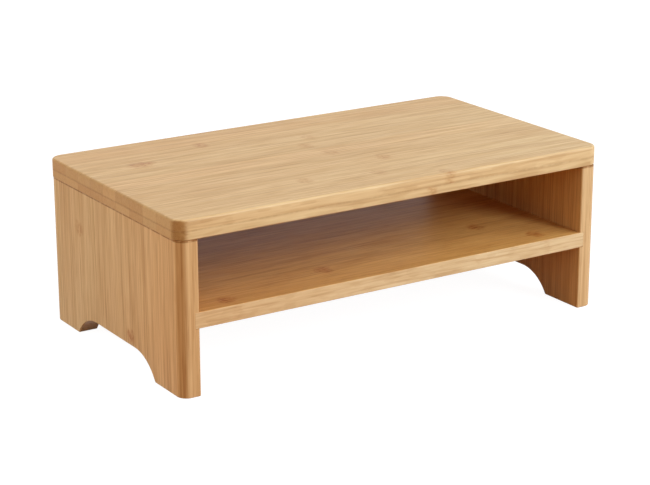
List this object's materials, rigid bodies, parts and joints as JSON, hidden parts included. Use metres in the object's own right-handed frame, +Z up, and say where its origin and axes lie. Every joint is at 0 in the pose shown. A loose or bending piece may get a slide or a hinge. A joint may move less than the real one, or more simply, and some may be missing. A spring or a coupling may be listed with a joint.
{
  "type": "monitor stand",
  "caption": "Bamboo monitor riser with a rounded top board, arched side panels and a fixed shelf that makes an open storage bay.",
  "frame": {"origin": "on the desk, under the middle of the top board", "axes": "+X along the width, to the right seen from the front; +Y from front to back; +Z up"},
  "size_m": [0.4, 0.22, 0.14],
  "materials": {
    "top_bamboo": "satin lacquered bamboo, grain along the width",
    "side_bamboo": "satin lacquered bamboo, grain upright",
    "shelf_bamboo": "satin lacquered bamboo, grain along the width",
    "dowel_wood": "raw turned hardwood"
  },
  "bodies": {
    "root": {"top_upper_ply": "top_bamboo", "top_lower_ply": "top_bamboo", "left_side_panel": "side_bamboo", "right_side_panel": "side_bamboo", "shelf": "shelf_bamboo", "left_dowel_1": "dowel_wood", "left_dowel_2": "dowel_wood", "left_dowel_3": "dowel_wood", "right_dowel_1": "dowel_wood", "right_dowel_2": "dowel_wood", "right_dowel_3": "dowel_wood"}
  },
  "joints": []
}
